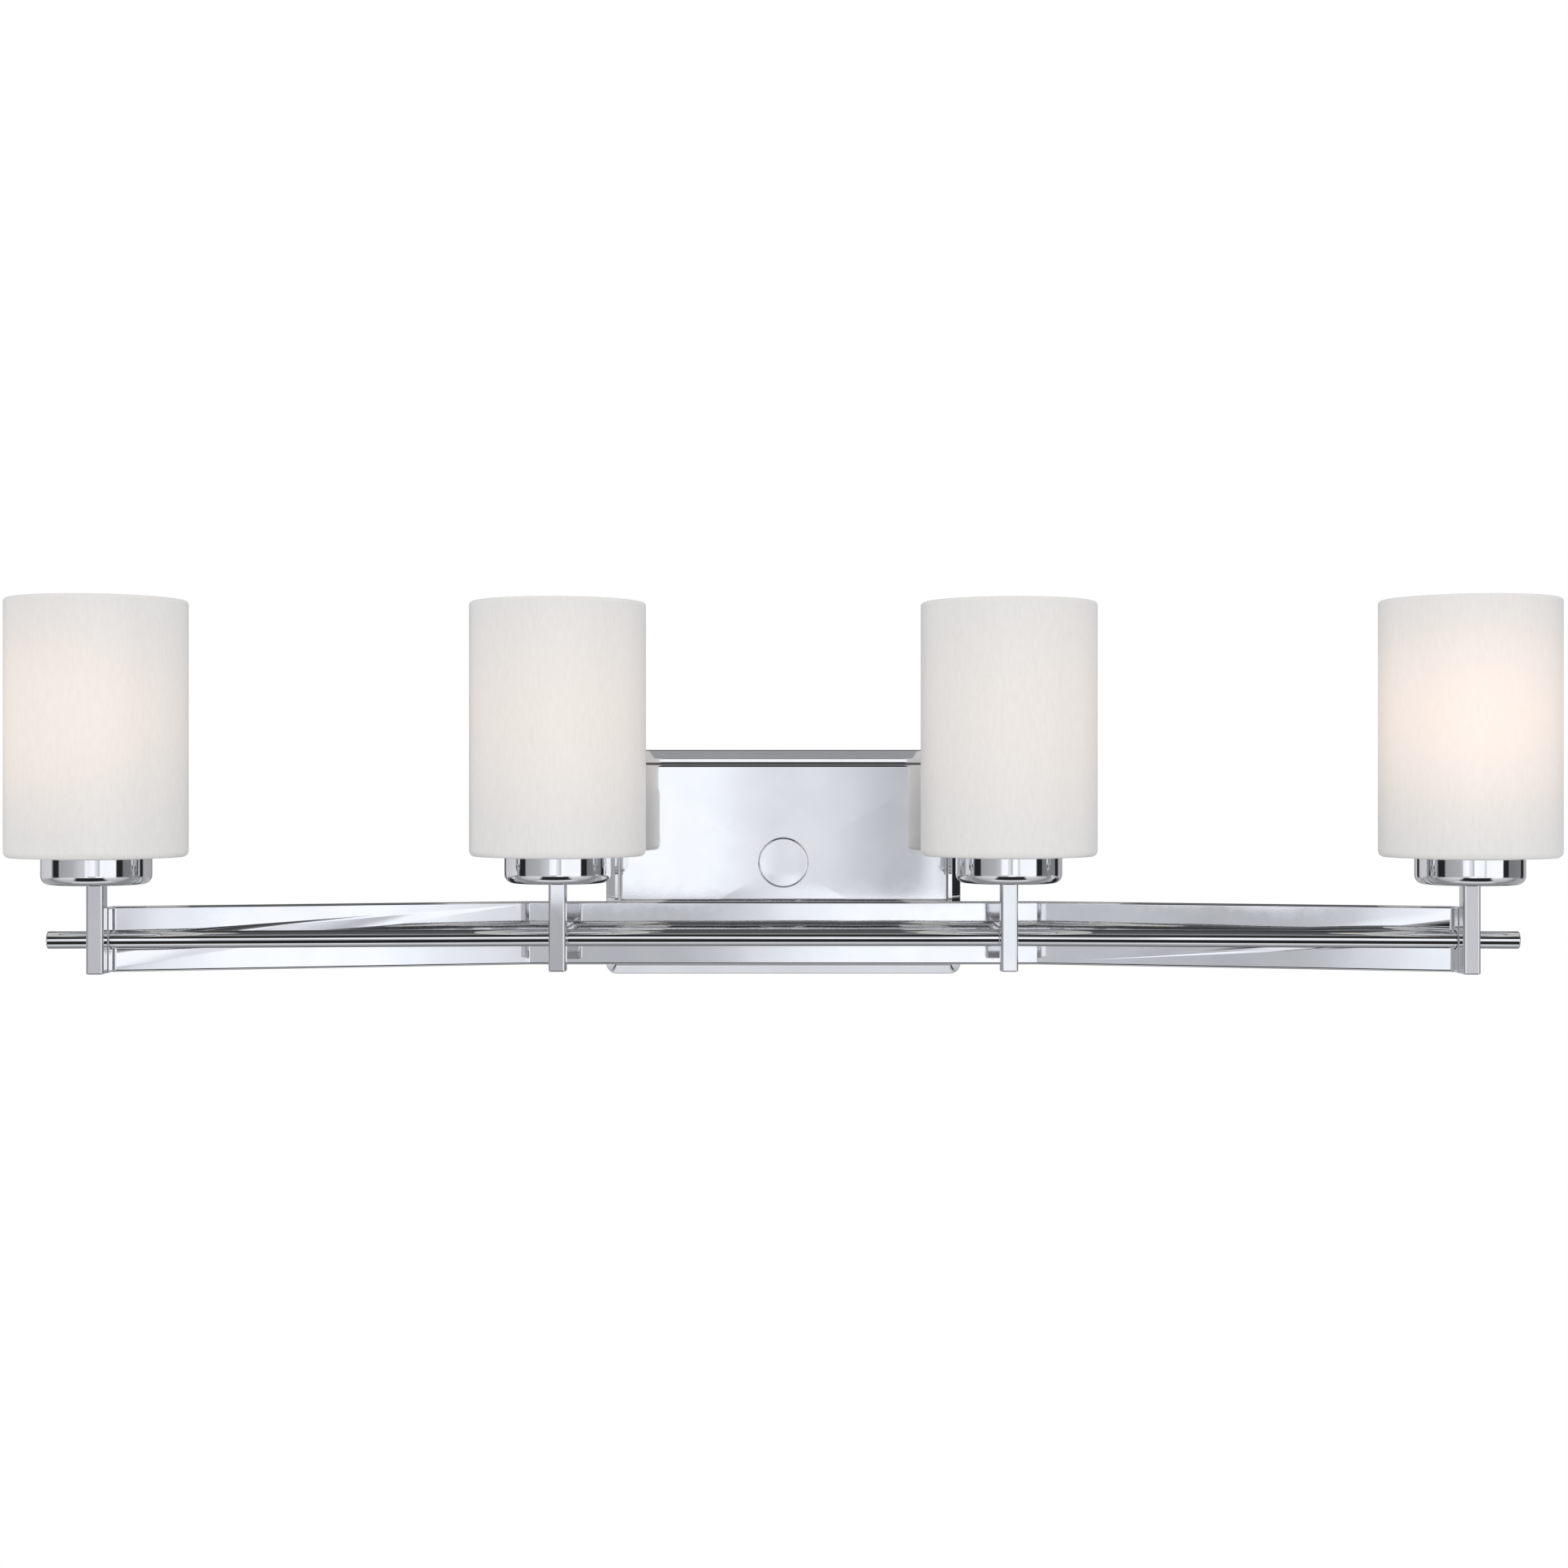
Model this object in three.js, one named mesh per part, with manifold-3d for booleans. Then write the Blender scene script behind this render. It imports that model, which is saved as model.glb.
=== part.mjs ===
// Four-light vanity bar: a stepped backplate on the wall, a bent flat band, a bowed cross rod,
// four square stems with cups, and four open-topped opal glass cylinder shades.
// Units are millimetres. +X is right, +Y goes into the wall, +Z is up.
// The origin is on the wall plane, behind the middle of the backplate.
import * as THREE from 'three';
import { mergeVertices } from 'three/addons/utils/BufferGeometryUtils.js';
import Module from 'manifold-3d';

const wasm = await Module();
wasm.setup();

// ---------- driving dimensions ----------
const GAP = 0.3; // air left between pieces that touch
const LIGHT_PITCH = 261.3; // centre to centre of neighbouring lights
const LIGHT_Y = -112; // plane of the two outer light axes
const BOW = 20; // how far the two middle lights stand back from that plane
const STEM = { side: 10, corner: 1.5, bottom: -60.8 };
const ROD = { radius: 5, halfLength: 422.6, round: 0.8, behindStem: 0.6, bendRadius: 12 };

const PLATE = { width: 217, height: 137, corner: 6.5, edge: 12, slope: 5.5, slopeRise: 3 };
const FACE = { width: 201, height: 121, corner: 5, front: 22, round: 3 };
const SHEET = 1.6; // wall of the pan

const BAND = { height: 38, thickness: 4, z: -42, bendX: 152.7, edge: 0.8, bendRadius: 4 };
const BAND_FRONT_MIDDLE = -38.5; // front face of the middle run
const BAND_FRONT_END = -96.7; // front face where the outer runs end
const TAB_INNER_X = 386.5; // inner face of the end tabs
const ROD_SLOT_GAP = 0.6; // air around the rod where it passes through an end tab

const CUP = { radius: 30.75, bottom: -9.7, top: 5.5, wall: 1.4, round: 5.2 };
const SHADE = { radius: 51, bottom: 5.8, top: 152.7, wall: 4, topRound: 2, bottomRound: 3.5, hole: 21 };
const RING = { inner: 19.9, outer: 27, bottom: SHADE.bottom + SHADE.wall + GAP, height: 4.5 };
const SOCKET = { radius: 19, bore: 14.5, top: 32, floor: 4.2 };
const SHELL = { inner: 13.4, outer: 14, bottom: 4.2, top: 30.5 };
const BULB = { baseRadius: 12.5, tipZ: 3.4, neckZ: 30.8, neck: 13, radius: 30, widestZ: 82, wall: 1 };
const STUD = { radius: 3.2, hole: 3.8, inStem: 12 };
const NUT = { radius: 5.8, height: 3 };
const CONTACT = { length: 26.4, width: 6, thickness: 0.8, bottom: 1.9 };

const POST = { x: 70, radius: 6, shank: 3.2, hole: 3.8, shankEnd: -13 };
const STANDOFF_RADIUS = 4.5;
const NIPPLE = { radius: 4.75, hole: 5.3, front: 26 };
const KNOB = { radius: 15.25, rise: 7, dome: 0.6, edge: 1, bore: 5.7, boreDepth: 5 };
const CROSSBAR = { length: 108, width: 22, thickness: 2.2, slotNear: 32, slotFar: 46, slotRadius: 2.4 };
const LOCK_NUT = { radius: 9, height: 4 };
const GROUND_SCREW = { x: 20, shank: 2, hole: 2.4, head: 4.2, headHeight: 2.4 };

const FINE = 24; // sides of the large round pieces
const MEDIUM = 20;
const COARSE = 16;

// ---------- finishes ----------
function finish(color, roughness, metalness) {
  return () => new THREE.MeshStandardMaterial({ color, roughness, metalness });
}
const chrome = finish(0xd9dce1, 0.08, 1);
const zincSteel = finish(0xb4b6b8, 0.4, 1);
const brass = finish(0xc9a355, 0.3, 1);
const porcelain = finish(0xf1efe9, 0.35, 0);
const opalGlass = finish(0xf3f1ec, 0.3, 0);
const frostedGlass = finish(0xfff3dc, 0.2, 0);
const groundGreen = finish(0x2f7a45, 0.4, 0.6);

// ---------- shape helpers ----------
function toSolid(geometry) {
  const bare = geometry.clone();
  bare.deleteAttribute('normal');
  bare.deleteAttribute('uv');
  const merged = mergeVertices(bare, 1e-4);
  return new wasm.Manifold(new wasm.Mesh({
    numProp: 3,
    vertProperties: new Float32Array(merged.attributes.position.array),
    triVerts: new Uint32Array(merged.index.array),
  }));
}

function fromSolid(solid) {
  const mesh = solid.getMesh();
  const geometry = new THREE.BufferGeometry();
  geometry.setAttribute('position', new THREE.BufferAttribute(new Float32Array(mesh.vertProperties), 3));
  geometry.setIndex(new THREE.BufferAttribute(new Uint32Array(mesh.triVerts), 1));
  geometry.computeVertexNormals();
  return geometry;
}

// A body minus each of the cutters.
function cut(body, cutters) {
  const solid = cutters.reduce((left, cutter) => left.subtract(toSolid(cutter)), toSolid(body));
  return fromSolid(solid);
}

// [radius, height] pairs revolved around Z.
function turnedZ(profile, sides) {
  const geometry = turnedY(profile, sides);
  return geometry.rotateX(Math.PI / 2);
}

// [radius, y] pairs revolved around Y, from the front of the object towards the wall.
function turnedY(profile, sides) {
  return new THREE.LatheGeometry(profile.map(([r, y]) => new THREE.Vector2(r, y)), sides);
}

// Points of an arc, as [radius, height] pairs, from one angle to another in degrees.
function arc(centreR, centreH, radius, fromDeg, toDeg, steps) {
  return Array.from({ length: steps + 1 }, (_, i) => {
    const angle = THREE.MathUtils.degToRad(fromDeg + ((toDeg - fromDeg) * i) / steps);
    return [centreR + radius * Math.cos(angle), centreH + radius * Math.sin(angle)];
  });
}

// A profile that closes on itself.
function closed(profile) {
  return [...profile, profile[0]];
}

function roundedRect(width, height, corner) {
  const x = width / 2 - corner;
  const y = height / 2 - corner;
  const shape = new THREE.Shape();
  shape.absarc(x, y, corner, 0, Math.PI / 2);
  shape.absarc(-x, y, corner, Math.PI / 2, Math.PI);
  shape.absarc(-x, -y, corner, Math.PI, Math.PI * 1.5);
  shape.absarc(x, -y, corner, Math.PI * 1.5, Math.PI * 2);
  return shape;
}

function roundHole(x, y, radius) {
  const hole = new THREE.Path();
  hole.absarc(x, y, radius, 0, Math.PI * 2, true);
  return hole;
}

// A hexagonal nut along Z, standing on z = 0.
function hexNut(radius, hole, height) {
  const corners = Array.from({ length: 6 }, (_, i) => {
    const angle = (i * Math.PI) / 3;
    return new THREE.Vector2(radius * Math.cos(angle), radius * Math.sin(angle));
  });
  const shape = new THREE.Shape(corners);
  shape.holes.push(roundHole(0, 0, hole));
  return new THREE.ExtrudeGeometry(shape, { depth: height, bevelEnabled: false, curveSegments: 6 });
}

// A plate in the XZ plane from y = 0 forward to y = -depth. Its front edge is bevelled.
function wallSlab(width, height, corner, depth, bevel) {
  const behind = 5;
  const options = {
    depth: depth + behind - bevel.thickness,
    bevelThickness: bevel.thickness,
    bevelSize: bevel.size,
    bevelOffset: -bevel.size,
    bevelSegments: bevel.segments,
    curveSegments: 3,
  };
  const slab = new THREE.ExtrudeGeometry(roundedRect(width, height, corner), options);
  return slab.rotateX(Math.PI / 2).translate(0, behind, 0);
}

// Turns a piece built along Z so that it points forward, away from the wall.
function forward(geometry) {
  return geometry.rotateX(Math.PI / 2);
}

// ---------- scene graph ----------
const root = new THREE.Group();

function add(name, geometry, makeMaterial, parent = root) {
  const mesh = new THREE.Mesh(geometry, makeMaterial());
  mesh.name = name;
  parent.add(mesh);
  return mesh;
}

// ---------- backplate ----------
function backplate() {
  const slope = { thickness: PLATE.slopeRise, size: PLATE.slope, segments: 1 };
  const round = { thickness: FACE.round, size: FACE.round, segments: 2 };
  const innerSlope = { thickness: PLATE.slopeRise - 0.5, size: PLATE.slope - SHEET, segments: 1 };
  const innerRound = { thickness: FACE.round - 1, size: FACE.round - 1, segments: 1 };
  const shoulder = PLATE.edge + PLATE.slopeRise;
  const border = toSolid(wallSlab(PLATE.width, PLATE.height, PLATE.corner, shoulder, slope));
  const raised = toSolid(wallSlab(FACE.width, FACE.height, FACE.corner, FACE.front, round));
  const innerBorder = wallSlab(
    PLATE.width - 2 * SHEET, PLATE.height - 2 * SHEET, PLATE.corner - SHEET, shoulder - SHEET, innerSlope);
  const innerRaised = wallSlab(
    FACE.width - 2 * SHEET, FACE.height - 2 * SHEET, FACE.corner - SHEET, FACE.front - SHEET, innerRound);
  const wallSide = new THREE.BoxGeometry(300, 20, 300).translate(0, 10, 0);
  const centreHole = new THREE.CylinderGeometry(NIPPLE.hole, NIPPLE.hole, 60, COARSE);
  const postHoles = [-POST.x, POST.x].map((x) => {
    return new THREE.CylinderGeometry(POST.hole, POST.hole, 60, 12).translate(x, 0, BAND.z);
  });
  const outside = fromSolid(border.add(raised));
  return cut(outside, [innerBorder, innerRaised, wallSide, centreHole, ...postHoles]);
}

function crossbar() {
  const shape = roundedRect(CROSSBAR.length, CROSSBAR.width, 3);
  shape.holes.push(roundHole(0, 0, NIPPLE.hole));
  shape.holes.push(roundHole(GROUND_SCREW.x, 0, GROUND_SCREW.hole));
  for (const side of [-1, 1]) {
    const near = side * CROSSBAR.slotNear;
    const far = side * CROSSBAR.slotFar;
    const slot = new THREE.Path();
    slot.absarc(Math.max(near, far), 0, CROSSBAR.slotRadius, Math.PI / 2, -Math.PI / 2, true);
    slot.absarc(Math.min(near, far), 0, CROSSBAR.slotRadius, -Math.PI / 2, -Math.PI * 1.5, true);
    shape.holes.push(slot);
  }
  const options = { depth: CROSSBAR.thickness, bevelEnabled: false, curveSegments: 4 };
  return forward(new THREE.ExtrudeGeometry(shape, options));
}

// A thick disc with a slightly domed face, tapped from behind for the nipple.
function knob() {
  const { radius, rise, dome, edge, bore, boreDepth } = KNOB;
  const base = -FACE.front - GAP;
  const crown = base - rise;
  const boreEnd = base - boreDepth;
  return turnedY([
    [0, crown],
    [radius / 2, crown + dome / 4],
    [radius - edge, crown + dome],
    [radius, crown + dome + edge],
    [radius, base],
    [bore, base],
    [bore, boreEnd],
    [0, boreEnd],
  ], FINE);
}

add('backplate', backplate(), chrome);
add('crossbar', crossbar(), zincSteel);
add('center_knob', knob(), chrome);
add('nipple', turnedY([
  [0, -NIPPLE.front],
  [NIPPLE.radius, -NIPPLE.front],
  [NIPPLE.radius, 0],
  [0, 0],
], COARSE), zincSteel);
const lockNutHex = hexNut(LOCK_NUT.radius, NIPPLE.hole, LOCK_NUT.height);
const lockNut = add('nipple_lock_nut', forward(lockNutHex), zincSteel);
lockNut.position.y = -CROSSBAR.thickness - GAP;

const screwHeadBack = -CROSSBAR.thickness - GAP;
const screwHeadFront = screwHeadBack - GROUND_SCREW.headHeight;
add('ground_screw', turnedY([
  [0, screwHeadFront],
  [GROUND_SCREW.head - 0.8, screwHeadFront],
  [GROUND_SCREW.head, screwHeadFront + 1],
  [GROUND_SCREW.head, screwHeadBack],
  [GROUND_SCREW.shank, screwHeadBack],
  [GROUND_SCREW.shank, -GAP],
  [0, -GAP],
], 12), groundGreen).position.x = GROUND_SCREW.x;

// ---------- posts from the backplate to the band ----------
const bandBackMiddle = BAND_FRONT_MIDDLE + BAND.thickness;
for (const [side, x] of [['left', -POST.x], ['right', POST.x]]) {
  const post = add(`${side}_post`, turnedY([
    [0, bandBackMiddle + GAP],
    [POST.radius, bandBackMiddle + GAP],
    [POST.radius, -FACE.front - GAP],
    [POST.shank, -FACE.front - GAP],
    [POST.shank, POST.shankEnd],
    [0, POST.shankEnd],
  ], COARSE), chrome);
  post.position.set(x, 0, BAND.z);
  const nut = add(`${side}_post_nut`, forward(hexNut(NUT.radius, POST.hole, NUT.height)), zincSteel);
  nut.position.set(x, -FACE.front + SHEET + GAP + NUT.height, BAND.z);
}

// ---------- cross rod ----------
const rodY = LIGHT_Y + STEM.side / 2 + ROD.behindStem + ROD.radius; // where it passes an outer stem

// The rod in plan: a straight run behind the two middle lights, and an arm forward to each end.
function rodPath() {
  const bendX = LIGHT_PITCH / 2;
  const armRun = ROD.halfLength - bendX;
  const end = new THREE.Vector2(ROD.halfLength, rodY + BOW - (BOW * armRun) / LIGHT_PITCH);
  const bend = new THREE.Vector2(bendX, rodY + BOW);
  const right = [bend, end];
  const left = [mirrored(end), mirrored(bend)];
  return roundBends([...left, ...right], ROD.bendRadius, 2);
}

function mirrored(point) {
  return new THREE.Vector2(-point.x, point.y);
}

// The direction of a path at one of its points.
function directionAt(path, i) {
  const ahead = path[Math.min(i + 1, path.length - 1)];
  const behind = path[Math.max(i - 1, 0)];
  return ahead.clone().sub(behind).normalize();
}

// A round bar that follows a path in plan, at the height of the band, with bevelled ends.
function bentBar(path, radius, bevel) {
  const stations = path.map((point, i) => ({ point, along: directionAt(path, i), radius }));
  if (bevel > 0) {
    const first = stations[0];
    const last = stations[stations.length - 1];
    stations[0] = { ...first, point: first.point.clone().addScaledVector(first.along, bevel) };
    stations.splice(-1, 1, { ...last, point: last.point.clone().addScaledVector(last.along, -bevel) });
    stations.unshift({ ...first, radius: radius - bevel });
    stations.push({ ...last, radius: radius - bevel });
  }
  const positions = [];
  for (const { point, along, radius: reach } of stations) {
    for (let k = 0; k < MEDIUM; k += 1) {
      const angle = (2 * Math.PI * k) / MEDIUM;
      const across = reach * Math.cos(angle);
      const up = reach * Math.sin(angle);
      positions.push(point.x - along.y * across, point.y + along.x * across, BAND.z + up);
    }
  }
  const start = stations[0].point;
  const end = stations[stations.length - 1].point;
  positions.push(start.x, start.y, BAND.z, end.x, end.y, BAND.z);
  const startCentre = stations.length * MEDIUM;
  const endCentre = startCentre + 1;
  const lastRing = startCentre - MEDIUM;
  const triangles = [];
  for (let k = 0; k < MEDIUM; k += 1) {
    const next = (k + 1) % MEDIUM;
    for (let ring = 0; ring < lastRing; ring += MEDIUM) {
      const a = ring + k;
      const b = ring + next;
      triangles.push(a, b, b + MEDIUM, a, b + MEDIUM, a + MEDIUM);
    }
    triangles.push(startCentre, next, k, endCentre, lastRing + k, lastRing + next);
  }
  const geometry = new THREE.BufferGeometry();
  geometry.setAttribute('position', new THREE.Float32BufferAttribute(positions, 3));
  geometry.setIndex(triangles);
  geometry.computeVertexNormals();
  return geometry;
}

add('cross_rod', bentBar(rodPath(), ROD.radius, ROD.round), chrome);

// ---------- flat band ----------
// Centreline of the band in plan, left to right, with its four bends.
function bandCentreline() {
  const half = BAND.thickness / 2;
  const stemBack = LIGHT_Y + STEM.side / 2;
  const tabX = TAB_INNER_X + half;
  const right = [
    new THREE.Vector2(BAND.bendX, BAND_FRONT_MIDDLE + half),
    new THREE.Vector2(tabX, BAND_FRONT_END + half),
    new THREE.Vector2(tabX, stemBack + GAP),
  ];
  const left = right.map(mirrored).reverse();
  return [...left, ...right];
}

// Rounds each inner corner of a path and samples it.
function roundBends(points, radius, steps) {
  const path = [points[0]];
  for (let i = 1; i < points.length - 1; i += 1) {
    const before = points[i - 1].clone().sub(points[i]).normalize();
    const after = points[i + 1].clone().sub(points[i]).normalize();
    const setback = radius / Math.tan(before.angleTo(after) / 2);
    const bend = new THREE.QuadraticBezierCurve(
      points[i].clone().addScaledVector(before, setback),
      points[i],
      points[i].clone().addScaledVector(after, setback),
    );
    path.push(...bend.getPoints(steps));
  }
  return [...path, points[points.length - 1]];
}

// The outline of a strip of even thickness that follows a path.
function stripOutline(path, thickness) {
  const sideways = path.map((point, i) => {
    const along = directionAt(path, i);
    return new THREE.Vector2(-along.y, along.x).multiplyScalar(thickness / 2);
  });
  const front = path.map((point, i) => point.clone().sub(sideways[i]));
  const back = path.map((point, i) => point.clone().add(sideways[i]));
  return new THREE.Shape([...front, ...back.reverse()]);
}

function flatBand() {
  const path = roundBends(bandCentreline(), BAND.bendRadius, 3);
  const options = {
    depth: BAND.height - 2 * BAND.edge,
    bevelThickness: BAND.edge,
    bevelSize: BAND.edge,
    bevelOffset: -BAND.edge,
    bevelSegments: 1,
  };
  const strip = new THREE.ExtrudeGeometry(stripOutline(path, BAND.thickness), options);
  strip.translate(0, 0, BAND.z - BAND.height / 2 + BAND.edge);
  return cut(strip, [bentBar(rodPath(), ROD.radius + ROD_SLOT_GAP, 0)]);
}

add('flat_band', flatBand(), chrome);


for (const [side, x] of [['left', -LIGHT_PITCH / 2], ['right', LIGHT_PITCH / 2]]) {
  const front = rodY + BOW + ROD.radius + GAP;
  const back = BAND_FRONT_MIDDLE - GAP;
  const standoff = add(`${side}_standoff`, turnedY([
    [0, front],
    [STANDOFF_RADIUS, front],
    [STANDOFF_RADIUS, back],
    [0, back],
  ], COARSE), chrome);
  standoff.position.set(x, 0, BAND.z);
}

// ---------- one light ----------
function stem() {
  const top = CUP.bottom - GAP;
  const options = { depth: top - STEM.bottom, bevelEnabled: false, curveSegments: 2 };
  const bar = new THREE.ExtrudeGeometry(roundedRect(STEM.side, STEM.side, STEM.corner), options);
  bar.translate(0, 0, STEM.bottom);
  const bore = new THREE.CylinderGeometry(STUD.hole, STUD.hole, 2 * STUD.inStem, 12);
  return cut(bar, [bore.rotateX(Math.PI / 2).translate(0, 0, top)]);
}

function cup() {
  const inner = CUP.radius - CUP.wall;
  const innerRound = CUP.round - CUP.wall;
  const roundR = CUP.radius - CUP.round;
  const roundZ = CUP.bottom + CUP.round;
  return turnedZ(closed([
    [STUD.hole, CUP.bottom],
    ...arc(roundR, roundZ, CUP.round, -90, 0, 3),
    [CUP.radius, CUP.top],
    [inner, CUP.top],
    ...arc(roundR, roundZ, innerRound, 0, -90, 1),
    [STUD.hole, CUP.bottom + CUP.wall],
  ]), FINE);
}

function shade() {
  const { radius, wall, bottomRound, topRound } = SHADE;
  const inner = radius - wall;
  const rim = topRound - 0.2;
  return turnedZ(closed([
    [SHADE.hole, SHADE.bottom],
    ...arc(radius - bottomRound, SHADE.bottom + bottomRound, bottomRound, -90, 0, 2),
    ...arc(radius - rim, SHADE.top - rim, rim, 0, 90, 2),
    ...arc(inner + rim, SHADE.top - rim, rim, 90, 180, 2),
    [inner, SHADE.bottom + wall + 2],
    [inner - 2, SHADE.bottom + wall],
    [SHADE.hole, SHADE.bottom + wall],
  ]), FINE);
}

function shadeRing() {
  const top = RING.bottom + RING.height;
  return turnedZ(closed([
    [RING.inner, RING.bottom],
    [RING.outer, RING.bottom],
    [RING.outer, RING.bottom + 2],
    [RING.inner + 2.5, top],
    [RING.inner, top],
  ]), FINE);
}

function socket() {
  const bottom = CUP.bottom + CUP.wall + GAP;
  return turnedZ(closed([
    [STUD.hole, bottom],
    [SOCKET.radius, bottom],
    [SOCKET.radius, SOCKET.top - 1.5],
    [SOCKET.radius - 1.5, SOCKET.top],
    [SOCKET.bore, SOCKET.top],
    [SOCKET.bore, bottom + SOCKET.floor],
    [STUD.hole, bottom + SOCKET.floor],
  ]), MEDIUM);
}

function screwShell() {
  return turnedZ(closed([
    [SHELL.inner, SHELL.bottom],
    [SHELL.outer, SHELL.bottom],
    [SHELL.outer, SHELL.top],
    [SHELL.inner, SHELL.top],
  ]), MEDIUM);
}

function stud() {
  const bottom = CUP.bottom - STUD.inStem;
  const top = CUP.bottom + CUP.wall + GAP + SOCKET.floor + GAP + NUT.height + 1;
  return turnedZ([[0, bottom], [STUD.radius, bottom], [STUD.radius, top], [0, top]], 12);
}

function studNut() {
  const nut = hexNut(NUT.radius, STUD.hole, NUT.height);
  return nut.translate(0, 0, CUP.bottom + CUP.wall + GAP + SOCKET.floor + GAP);
}

function contact() {
  const { length, width, thickness, bottom } = CONTACT;
  return new THREE.BoxGeometry(length, width, thickness).translate(0, 0, bottom + thickness / 2);
}

function bulbBase() {
  const { baseRadius, tipZ, neckZ } = BULB;
  return turnedZ([
    [0, tipZ],
    [4, tipZ],
    [baseRadius, tipZ + 4],
    [baseRadius, neckZ - GAP],
    [0, neckZ - GAP],
  ], COARSE);
}

// A pear-shaped envelope, open at its neck. The profile runs down its inside and up its outside.
function bulbGlass() {
  const { neck, radius, neckZ, widestZ, wall } = BULB;
  const flank = new THREE.CubicBezierCurve(
    new THREE.Vector2(neck, neckZ),
    new THREE.Vector2(neck + 1, neckZ + 26),
    new THREE.Vector2(radius, widestZ - 22),
    new THREE.Vector2(radius, widestZ),
  );
  const rising = flank.getPoints(4).map((p) => [p.x, p.y]);
  const innerFlank = rising.map(([r, z]) => [r - wall, z]).reverse();
  return turnedZ([
    [0, widestZ + radius - wall],
    ...arc(0, widestZ, radius - wall, 60, 30, 1),
    ...innerFlank,
    ...rising,
    ...arc(0, widestZ, radius, 22.5, 67.5, 2),
    [0, widestZ + radius],
  ], COARSE);
}

const lightPieces = [
  ['stem', stem, chrome],
  ['cup', cup, chrome],
  ['stud', stud, zincSteel],
  ['stud_nut', studNut, zincSteel],
  ['socket', socket, porcelain],
  ['screw_shell', screwShell, brass],
  ['contact', contact, brass],
  ['shade', shade, opalGlass],
  ['shade_ring', shadeRing, porcelain],
  ['bulb_base', bulbBase, zincSteel],
  ['bulb_glass', bulbGlass, frostedGlass],
];

for (let i = 0; i < 4; i += 1) {
  const light = new THREE.Group();
  const isMiddle = i === 1 || i === 2;
  light.position.set((i - 1.5) * LIGHT_PITCH, isMiddle ? LIGHT_Y + BOW : LIGHT_Y, 0);
  root.add(light);
  for (const [name, make, material] of lightPieces) {
    add(`light_${i + 1}_${name}`, make(), material, light);
  }
}

export default root;
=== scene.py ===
"""The finished look of the four-light vanity bar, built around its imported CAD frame.

Every visible piece is a smooth mesh made here, in metres, at the place that the frame gives. Sizes
inside the piece functions are in millimetres.
"""
import math

import bmesh
import bpy
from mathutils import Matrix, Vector


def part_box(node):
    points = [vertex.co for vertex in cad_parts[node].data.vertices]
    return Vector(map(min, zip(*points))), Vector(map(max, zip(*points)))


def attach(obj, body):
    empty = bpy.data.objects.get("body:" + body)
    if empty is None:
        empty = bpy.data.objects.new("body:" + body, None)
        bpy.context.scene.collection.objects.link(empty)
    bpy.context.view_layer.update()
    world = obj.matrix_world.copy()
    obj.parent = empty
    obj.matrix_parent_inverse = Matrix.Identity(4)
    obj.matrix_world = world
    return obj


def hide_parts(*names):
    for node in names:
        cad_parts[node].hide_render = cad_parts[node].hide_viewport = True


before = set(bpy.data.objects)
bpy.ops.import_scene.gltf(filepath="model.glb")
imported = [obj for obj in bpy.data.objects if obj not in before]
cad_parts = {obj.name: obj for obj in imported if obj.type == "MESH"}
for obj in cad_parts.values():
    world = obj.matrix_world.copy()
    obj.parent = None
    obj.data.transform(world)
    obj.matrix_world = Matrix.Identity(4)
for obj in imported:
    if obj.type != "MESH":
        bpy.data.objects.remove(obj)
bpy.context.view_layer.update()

MM = 0.001
LIGHTS = (1, 2, 3, 4)
GAP = 0.3  # air between pieces that touch, in millimetres
CREASE = 32  # edges sharper than this many degrees stay sharp
SUPPORT = 0.08  # how far past a rounded corner its last point lies, as a share of the radius


# ---------------------------------------------------------------- places, from the frame
def centre(node):
    low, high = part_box(node)
    return (low + high) / 2


def size(node):
    low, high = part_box(node)
    return high - low


def along_y(node):
    """Where a node's axis crosses the wall plane, and its lowest and highest y in millimetres."""
    low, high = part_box(node)
    return Vector(((low.x + high.x) / 2, 0, (low.z + high.z) / 2)), low.y / MM, high.y / MM


def along_z(node):
    """A node's lowest and highest z, in millimetres."""
    low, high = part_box(node)
    return low.z / MM, high.z / MM


# ---------------------------------------------------------------- outlines
def rounded(corners, closed=True, steps=5):
    """A polyline in metres through (u, v, radius) corners in millimetres, with each corner rounded.

    A point just outside each end of an arc keeps the straight runs flat under smooth shading.
    """
    out = []
    last = len(corners) - 1
    for i, (u, v, radius) in enumerate(corners):
        here = Vector((u, v))
        if radius == 0 or (not closed and i in (0, last)):
            out.append(here * MM)
            continue
        before = (Vector(corners[i - 1][:2]) - here).normalized()
        after = (Vector(corners[(i + 1) % len(corners)][:2]) - here).normalized()
        half = before.angle(after) / 2
        middle = here + (before + after).normalized() * (radius / math.sin(half))
        start = here + before * (radius / math.tan(half)) - middle
        end = here + after * (radius / math.tan(half)) - middle
        sweep = math.atan2(start.x * end.y - start.y * end.x, start.dot(end))
        support = SUPPORT * radius
        out.append((middle + start + before * support) * MM)
        for k in range(steps + 1):
            turn = sweep * k / steps
            c, s = math.cos(turn), math.sin(turn)
            out.append((middle + Vector((start.x * c - start.y * s, start.x * s + start.y * c))) * MM)
        out.append((middle + end + after * support) * MM)
    return out


def thread(radius, start, end, pitch, depth, per_turn=4):
    """The outline of a screw thread from start to end, as (radius, height, 0) corners."""
    count = max(1, round(abs(end - start) / pitch * per_turn))
    out = []
    for k in range(count + 1):
        wave = 0.5 - 0.5 * math.cos(2 * math.pi * k / per_turn)
        out.append((radius - depth * (1 - wave), start + (end - start) * k / count, 0))
    return out


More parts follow.
